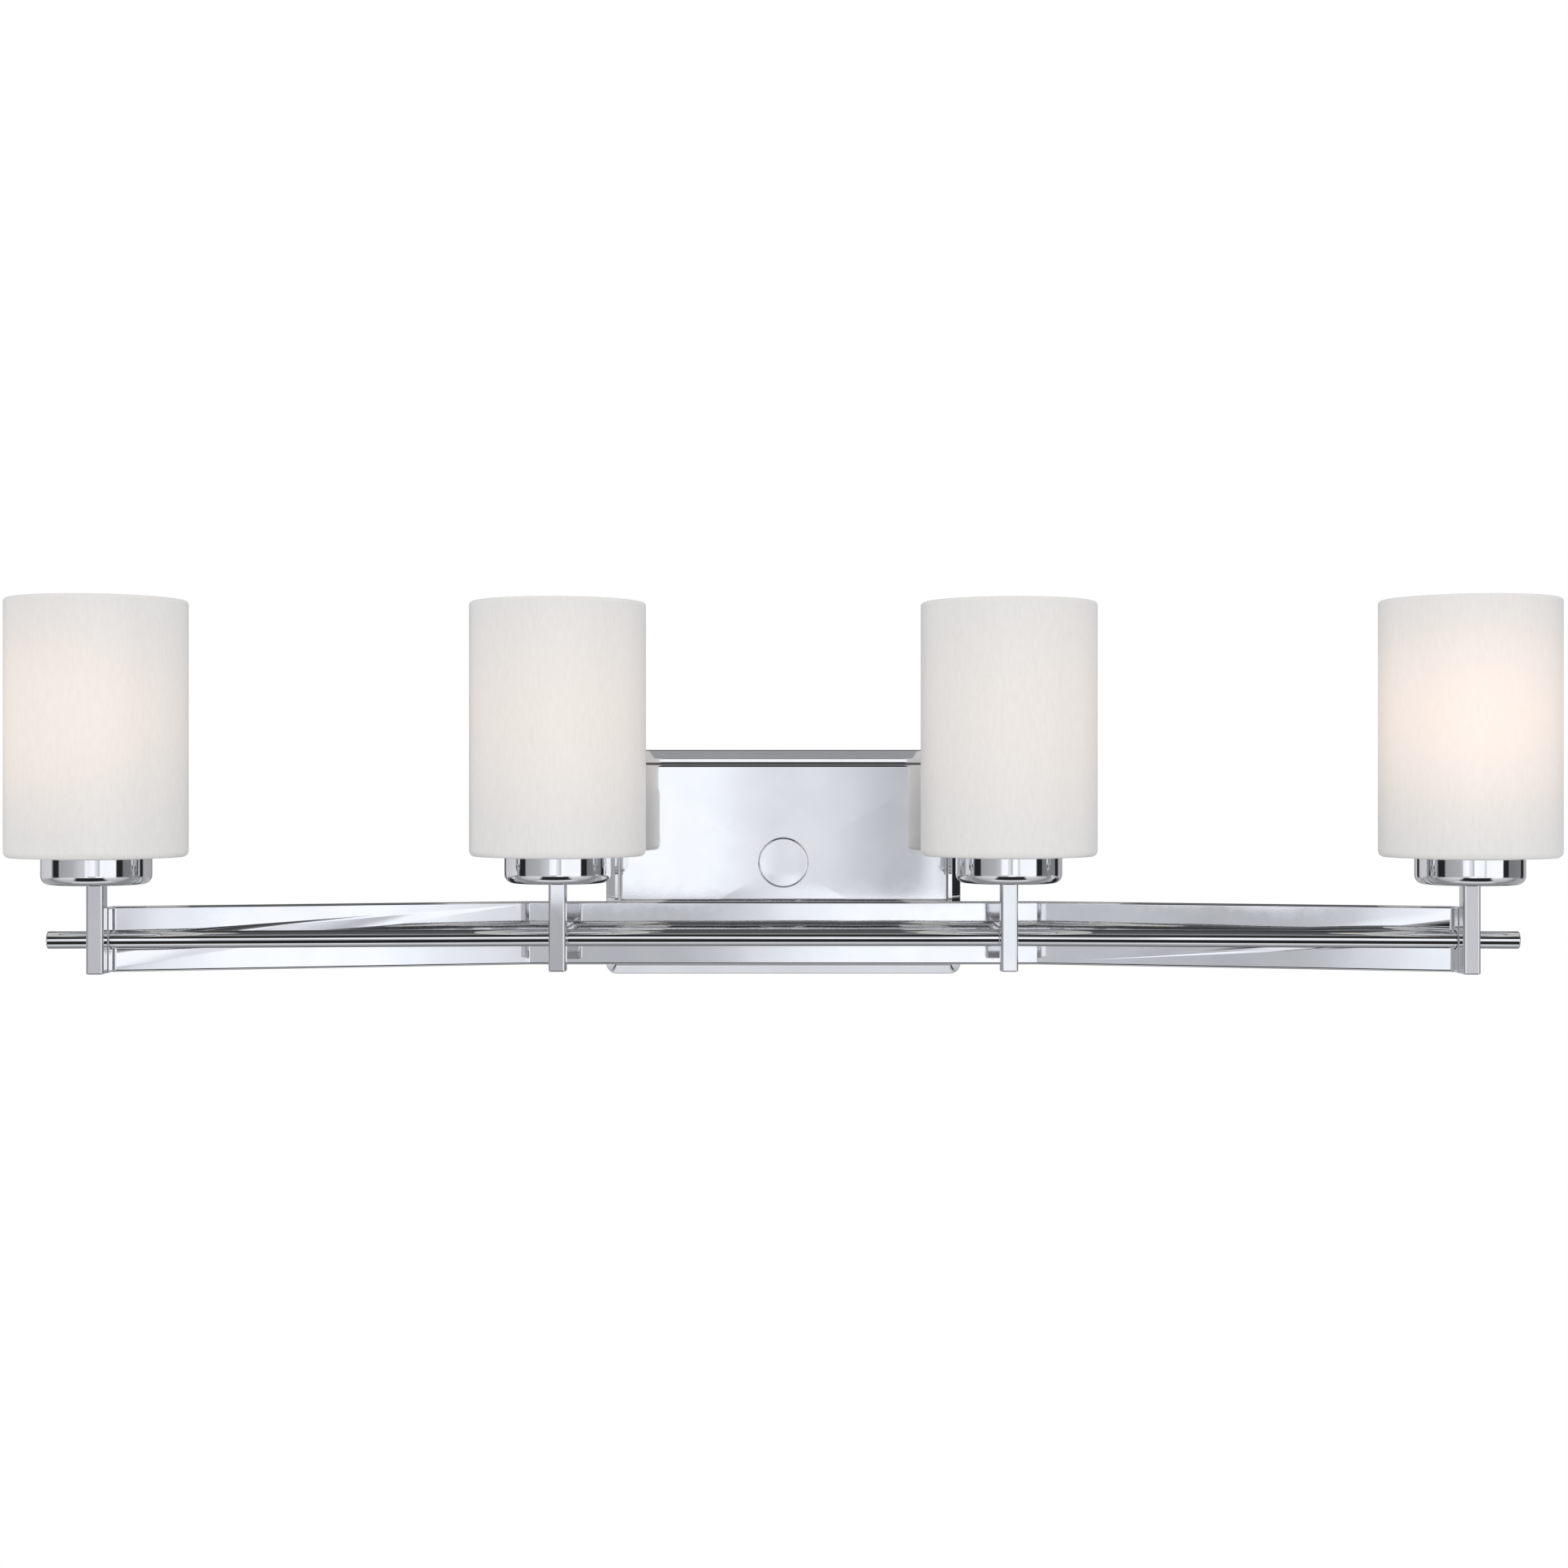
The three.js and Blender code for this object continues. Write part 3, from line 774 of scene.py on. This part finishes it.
def cup(name, node, at):
    """A shallow dish with a round lower edge and a hole in its floor for the stud."""
    low, high = along_z(node)
    r, wall, edge = size(node).x / 2 / MM, 1.4, 5.2
    profile = rounded([
        (STUD_HOLE, low, 0), (r, low, edge), (r, high, 0.55), (r - wall, high, 0.55),
        (r - wall, low + wall, edge - wall), (STUD_HOLE, low + wall, 0),
    ], steps=8)
    return lathe(name, profile, at, sides=160)


def stud(name, node, at):
    """A threaded rod that joins the stem, the cup and the socket."""
    low, high = along_z(node)
    radius, chamfered = 3.2, 2.7
    profile = rounded([
        (0, low, 0), (chamfered, low, 0), *thread(radius, low + 0.5, high - 0.5, 1.06, 0.45),
        (chamfered, high, 0), (0, high, 0),
    ], closed=False)
    return lathe(name, profile, at, sides=40, closed=False)


def stud_nut(name, node, at):
    low, high = along_z(node)
    flat_radius, hole = 5.0, 3.4
    return nut(name, at, "Z", flat_radius, hole, low, high)


def socket(name, node, at):
    """A lampholder body: a cup with a coarse thread round its upper half for the shade ring."""
    low, high = along_z(node)
    r, thread_depth, bore, floor = 19.0, 0.8, 14.5, 4.2
    root = r - thread_depth
    profile = rounded([
        (STUD_HOLE, low, 0), (root, low, 0.8), (root, low + 12, 0),
        *thread(r, low + 12.5, high - 3.5, 3.0, thread_depth, 8),
        (root, high - 3, 0), (root, high, 1.2), (bore, high, 0.8),
        (bore, low + floor, 0.6), (STUD_HOLE, low + floor, 0),
    ])
    return lathe(name, profile, at, sides=96)


def screw_shell(name, node, at):
    """A thin tube rolled into a thread."""
    low, high = along_z(node)
    sheet = 0.3
    outer = thread(14.0, low, high, 3.6, sheet, 8)
    inner = [(r - sheet, h, 0) for r, h, _ in reversed(outer)]
    return lathe(name, rounded(outer + inner), at, sides=80)


def contact(name, node, at):
    """The flat strip in the floor of a lampholder."""
    low, high = along_z(node)
    extent = size(node) / MM
    bevel = 0.15
    rings = []
    for inset, z in ((bevel, low), (0, low + bevel), (0, high - bevel), (bevel, high)):
        outline = rounded_square(extent.x / 2 - inset, extent.y / 2 - inset, 1.5)
        rings.append([Vector((x, y, z)) * MM + at for x, y in outline])
    return loft(name, rings)


def shade(name, node, at):
    """A glass cylinder, open at the top, with a hole in its floor that goes over the socket."""
    low, high = along_z(node)
    r, wall, hole = size(node).x / 2 / MM, 4.0, 21.0
    rim = 1.9
    profile = rounded([
        (hole, low, 0.8), (r, low, 3.5), (r, high, rim), (r - wall, high, rim),
        (r - wall, low + wall, 2.4), (hole, low + wall, 0.8),
    ], steps=8)
    return lathe(name, profile, at, sides=192, crease=50)


def shade_ring(name, node, at):
    """A ring that screws down on the glass, with grip notches round its flange."""
    low, high = along_z(node)
    r, bore, neck = size(node).x / 2 / MM, 19.9, 22.4
    profile = rounded([
        (bore, low, 0.3), (r, low, 0.5), (r, low + 2.2, 0.6), (neck, high, 0.7), (bore, high, 0.3),
    ])
    notches, notch_depth, notched_from = 12, 0.9, 25.5
    grip = (notches, notch_depth, notched_from)
    return lathe(name, profile, at, sides=144, scallop=grip, crease=40)


def bulb_cap(name, node, at):
    """A bulb's metal cap: a rolled thread between a cone below and a plain band above."""
    low, high = along_z(node)
    r, throat, sheet = size(node).x / 2 / MM, 8.6, 0.9
    band = r - 0.5
    profile = rounded([
        (throat, low + 3.2, 0), (10.8, low + 4.4, 1.2), *thread(r, low + 5.2, low + 19.8, 3.6, 0.8, 8),
        (band, low + 20.4, 0), (band, high, 0.3), (band - sheet, high, 0.3), (throat, low + 5, 0),
    ])
    return lathe(name, profile, at, sides=80)


def bulb_insulator(name, node, at):
    """A cone of black glass between the cap and the tip."""
    low, _ = along_z(node)
    profile = rounded([
        (4.2, low + 0.5, 0.2), (9.2, low + 3.6, 0.8), (8.4, low + 5.4, 0.3), (3.6, low + 2.6, 0.2),
    ])
    return lathe(name, profile, at, sides=64)


def bulb_tip(name, node, at):
    """The round contact under a bulb."""
    low, _ = along_z(node)
    height = 2.8
    profile = rounded([
        (0, low, 0), (2.6, low + 0.1, 0.8), (4.4, low + 0.9, 0.3),
        (4.0, low + height, 0), (0, low + height, 0),
    ], closed=False)
    return lathe(name, profile, at, sides=48, closed=False)


def bulb_envelope(name, node, at):
    """A thin glass bulb: a flank that curves out from the neck, and half a sphere on top of it."""
    low, high = along_z(node)
    r = size(node).x / 2 / MM
    neck, wall = 13.0, 1.0
    widest = high - r
    flank_steps, crown_steps = 28, 20
    controls = ((neck, low), (neck + 1, low + 26), (r, widest - 22), (r, widest))
    flank = []
    for k in range(flank_steps + 1):
        t = k / flank_steps
        weights = ((1 - t) ** 3, 3 * t * (1 - t) ** 2, 3 * t * t * (1 - t), t ** 3)
        flank.append(tuple(sum(w * p[axis] for w, p in zip(weights, controls)) for axis in (0, 1)))
    turns = [math.pi / 2 * k / crown_steps for k in range(1, crown_steps)]

    def crown(radius):
        return [(radius * math.cos(a), widest + radius * math.sin(a)) for a in turns]

    outside = flank + crown(r) + [(0, high)]
    inside = [(x - wall, z) for x, z in flank] + crown(r - wall) + [(0, high - wall)]
    profile = [Vector(p) * MM for p in reversed(inside)] + [Vector(p) * MM for p in outside]
    return lathe(name, profile, at, sides=96, closed=False, crease=50)


# Kind of piece, its function, its slot and its finish.
FIXED_PIECES = (
    ("stem", stem, "chrome", shaded_stem_chrome),
    ("cup", cup, "chrome", plain_chrome),
    ("stud", stud, "zinc_steel", zinc),
    ("stud_nut", stud_nut, "zinc_steel", zinc),
    ("socket", socket, "porcelain", glaze),
    ("screw_shell", screw_shell, "brass", brass),
    ("contact", contact, "brass", brass),
)
BULB_PIECES = (
    ("cap", bulb_cap, cap_metal),
    ("insulator", bulb_insulator, insulator),
    ("tip", bulb_tip, cap_metal),
)
# The middle of the painted glow on each glass, in metres: beside and in front of the light's axis, and its
# height.
GLOW_SIDE = {1: -0.016, 2: 0.004, 3: 0.014, 4: -0.006}
GLOW_FORWARD = 0.03
GLOW_HEIGHT = 0.086
GLOW_STRENGTH = {1: 0.17, 2: 0.1, 3: 0.08, 4: 0.25}  # the brightness there

for i in LIGHTS:
    middle = centre(f"light_{i}_shade")
    at = Vector((middle.x, middle.y, 0))
    for kind, make, slot, material in FIXED_PIECES:
        node = f"light_{i}_{kind}"
        fit_out(make(f"{node}_piece", node, at), "root", node, material)

    node = f"light_{i}_shade"
    glow_place = Vector((at.x + GLOW_SIDE[i], at.y - GLOW_FORWARD, GLOW_HEIGHT))
    glass = opal_glass(f"satin_opal_glass_{i}", glow_place, GLOW_STRENGTH[i])
    fit_out(shade(f"{node}_glass", node, at), "root", node, glass)

    node = f"light_{i}_shade_ring"
    fit_out(shade_ring(f"{node}_piece", node, at), f"shade_ring_{i}", node, glaze)

    node = f"light_{i}_bulb_base"
    for part, make, material in BULB_PIECES:
        fit_out(make(f"{node}_{part}", node, at), f"bulb_{i}", node, material)

    node = f"light_{i}_bulb_glass"
    fit_out(bulb_envelope(f"{node}_envelope", node, at), f"bulb_{i}", node, bulb_glass)


# ---------------------------------------------------------------- studio
def ramp_of(tree, value, start, end, stops, tint=(0.94, 0.96, 1.0)):
    """A colour for each value from start to end. Each stop is (value, brightness)."""
    ramp = tree.nodes.new("ShaderNodeValToRGB")
    elements = ramp.color_ramp.elements
    while len(elements) < len(stops):
        elements.new(0.5)
    for element, (place, brightness) in zip(elements, stops):
        element.position = (place - start) / (end - start)
        element.color = (*(brightness * part for part in tint), 1)
    tree.links.new(map_range(tree, value, start, end), ramp.inputs["Fac"])
    return ramp.outputs["Color"]


def mix(tree, share, a, b):
    """From the colour a to the colour b as the share goes from 0 to 1."""
    node = tree.nodes.new("ShaderNodeMix")
    node.data_type = "RGBA"
    tree.links.new(share, node.inputs["Factor"])
    for socket, value in ((node.inputs["A"], a), (node.inputs["B"], b)):
        if isinstance(value, tuple):
            socket.default_value = value
        else:
            tree.links.new(value, socket)
    return node.outputs["Result"]


# The studio that the chrome mirrors, as (direction in degrees, brightness) stops.
# Round about, for directions near level: 0 is straight ahead of the part, and 90 is +X.
ROUND_ABOUT = (
    (-180, 0.3), (-172, 0.3), (-168, 0.6), (-160, 0.6), (-157, 0.03), (-147, 0.03), (-143, 0.6),
    (-92, 0.7), (-84, 0.02), (-69, 0.02), (-67, 0.38), (-35, 0.46), (-20, 0.62), (-9, 0.66),
    (-7, 1.05), (13.8, 1.05), (14.8, 0.72), (18, 0.72), (19, 1.05), (55, 1.1),
    (57, 0.02), (70, 0.02), (72, 0.2), (111, 0.24), (114, 0.02), (126, 0.02),
    (129, 0.45), (170, 0.4), (174, 0.2), (180, 0.3),
)
# Up and down, for steeper directions: 0 is level and ahead of the part, 90 is straight up.
UP_AND_DOWN = (
    (-180, 0.5), (-156, 0.5), (-152, 0.03), (-138, 0.03), (-134, 0.22), (-100, 0.28), (-84, 0.5),
    (-70, 0.75), (-61, 0.8), (-57, 0.02), (-18, 0.02), (-10, 1.0), (9, 1.0), (17, 0.02), (40, 0.02),
    (44, 0.14), (52, 0.16), (55, 0.34), (60, 0.34), (64, 0.1), (96, 0.1), (106, 0.06), (150, 0.05),
    (155, 0.5), (180, 0.5),
)
# The same for directions well to the side, lighter so that the chrome stays bright from a corner.
UP_AND_DOWN_ASIDE = (
    (-180, 0.5), (-130, 0.4), (-95, 0.25), (-70, 0.5), (-40, 0.62), (-14, 0.85), (9, 1.0), (18, 0.25),
    (45, 0.15), (60, 0.34), (100, 0.3), (140, 0.25), (165, 0.5), (180, 0.5),
)
# How far a direction points to the side or up, from 0 to 1, where one ramp gives way to the next.
ASIDE = (0.42, 0.55)
STEEP = (0.12, 0.28)


def build_world():
    """White to the camera, a soft gradient to matt surfaces, and the studio to polished ones."""
    world = bpy.data.worlds.new("studio")
    world.use_nodes = True
    tree = world.node_tree
    tree.nodes.clear()

    def math_node(operation, *values):
        node = tree.nodes.new("ShaderNodeMath")
        node.operation = operation
        for socket, value in zip(node.inputs, values):
            if isinstance(value, float):
                socket.default_value = value
            else:
                tree.links.new(value, socket)
        return node.outputs["Value"]

    def over(axis, start, end):
        """0 where the direction's part along the axis is under start, 1 where it is over end."""
        part = math_node("ABSOLUTE", direction.outputs[axis])
        return map_range(tree, part, start, end, curve="SMOOTHSTEP")

    coords = tree.nodes.new("ShaderNodeTexCoord")
    direction = tree.nodes.new("ShaderNodeSeparateXYZ")
    tree.links.new(coords.outputs["Generated"], direction.inputs["Vector"])
    ahead = math_node("MULTIPLY", direction.outputs["Y"], -1.0)
    turn = math_node("DEGREES", math_node("ARCTAN2", direction.outputs["X"], ahead))
    tilt = math_node("DEGREES", math_node("ARCTAN2", direction.outputs["Z"], ahead))
    around = ramp_of(tree, turn, -180, 180, ROUND_ABOUT)
    up_and_down = ramp_of(tree, tilt, -180, 180, UP_AND_DOWN)
    aside = ramp_of(tree, tilt, -180, 180, UP_AND_DOWN_ASIDE)
    above = mix(tree, over("X", *ASIDE), up_and_down, aside)
    studio = mix(tree, over("Z", *STEEP), around, above)
    path = tree.nodes.new("ShaderNodeLightPath")
    gradient = map_range(tree, direction.outputs["Z"], -0.4, 0.4, 0.88, 1.02)
    lit = mix(tree, path.outputs["Is Diffuse Ray"], studio, gradient)
    seen = mix(tree, path.outputs["Is Camera Ray"], lit, (1.0, 1.0, 1.0, 1))
    background = tree.nodes.new("ShaderNodeBackground")
    tree.links.new(seen, background.inputs["Color"])
    output = tree.nodes.new("ShaderNodeOutputWorld")
    tree.links.new(background.outputs["Background"], output.inputs["Surface"])
    bpy.context.scene.world = world


def panel(name, corners):
    """A flat sheet that is part of the studio, not of the object."""
    bm = bmesh.new()
    bm.faces.new([bm.verts.new(corner) for corner in corners])
    mesh = bpy.data.meshes.new(name)
    bm.to_mesh(mesh)
    bm.free()
    obj = bpy.data.objects.new(name, mesh)
    bpy.context.scene.collection.objects.link(obj)
    return obj


def build_floor():
    """A pale floor one metre below the part, which neither lights it nor shows in the chrome."""
    level, reach = -1.0, 1.0
    square = ((-reach, -reach), (reach, -reach), (reach, reach), (-reach, reach))
    floor = panel("studio_floor", [(x, y, level) for x, y in square])
    pale = Finish("pale_floor", roughness=0.7)
    pale.color(pale.noise(6, 3), (0.8, 0.8, 0.81), (0.84, 0.84, 0.85))
    pale.bump((pale.noise(80, 3), 0.0002))
    floor.data.materials.append(pale.material)
    floor.visible_glossy = False
    floor.visible_diffuse = False


# The two halves of the front card, as (place along X in metres, brightness) stops.
CARD_UPPER = (
    (-0.47, 0.85), (-0.2, 0.98), (-0.1, 0.96), (-0.06, 0.84), (-0.02, 0.74), (0.05, 0.74), (0.1, 0.62),
    (0.15, 0.5), (0.19, 0.52), (0.24, 0.98), (0.47, 1.0),
)
CARD_LOWER = (
    (-0.47, 0.50), (-0.36, 0.50), (-0.24, 0.45), (-0.12, 0.47), (-0.06, 0.6), (0.0, 0.82), (0.08, 0.96),
    (0.26, 1.0), (0.34, 0.9), (0.46, 0.68),
)
CARD_SPLIT = (-0.104, -0.088)  # the heights between which the lower half fades into the upper one
CARD_TINT = (1.05, 1.08, 1.14)


def build_front_card():
    """A lit card behind the camera that the flat chrome faces mirror."""
    left, right, bottom, top, y = -0.47, 0.47, -0.42, 0.3, -1.62
    card = panel("front_card", [(left, y, bottom), (right, y, bottom), (right, y, top), (left, y, top)])
    card.visible_camera = False
    card.visible_diffuse = False
    card.visible_shadow = False
    material = bpy.data.materials.new("front_card_light")
    material.use_nodes = True
    tree = material.node_tree
    tree.nodes.clear()
    coords = tree.nodes.new("ShaderNodeTexCoord")
    place = tree.nodes.new("ShaderNodeSeparateXYZ")
    tree.links.new(coords.outputs["Object"], place.inputs["Vector"])
    lower = ramp_of(tree, place.outputs["X"], -0.5, 0.5, CARD_LOWER, CARD_TINT)
    upper = ramp_of(tree, place.outputs["X"], -0.5, 0.5, CARD_UPPER, CARD_TINT)
    share = map_range(tree, place.outputs["Z"], *CARD_SPLIT, curve="SMOOTHSTEP")
    light = tree.nodes.new("ShaderNodeEmission")
    tree.links.new(mix(tree, share, lower, upper), light.inputs["Color"])
    output = tree.nodes.new("ShaderNodeOutputMaterial")
    tree.links.new(light.outputs["Emission"], output.inputs["Surface"])
    card.data.materials.append(material)


def soft_light(name, place, aim, width, height, watts):
    """A rectangular light that the camera and the chrome don't see."""
    data = bpy.data.lights.new(name, "AREA")
    data.shape = "RECTANGLE"
    data.size = width
    data.size_y = height
    data.energy = watts
    obj = bpy.data.objects.new(name, data)
    obj.location = place
    obj.rotation_euler = (Vector(aim) - Vector(place)).to_track_quat("-Z", "Y").to_euler()
    obj.visible_glossy = False
    obj.visible_camera = False
    bpy.context.scene.collection.objects.link(obj)


def build_camera():
    """A level camera straight in front of the part, a little above its origin."""
    distance, height = 1.375, 0.0476
    data = bpy.data.cameras.new("camera")
    data.lens = 55.3
    data.sensor_width = 36
    camera = bpy.data.objects.new("camera", data)
    camera.location = (0.0004, centre("light_1_shade").y - distance, height)
    camera.rotation_euler = (math.radians(90), 0, 0)
    bpy.context.scene.collection.objects.link(camera)
    bpy.context.scene.camera = camera


build_world()
build_floor()
build_front_card()
soft_light("front_soft_light", (0.25, -1.9, 0.7), aim=(0, -0.05, 0.03), width=1.6, height=1.1, watts=2.8)
build_camera()
bpy.context.scene.view_settings.view_transform = "Standard"
bpy.context.scene.view_settings.look = "None"
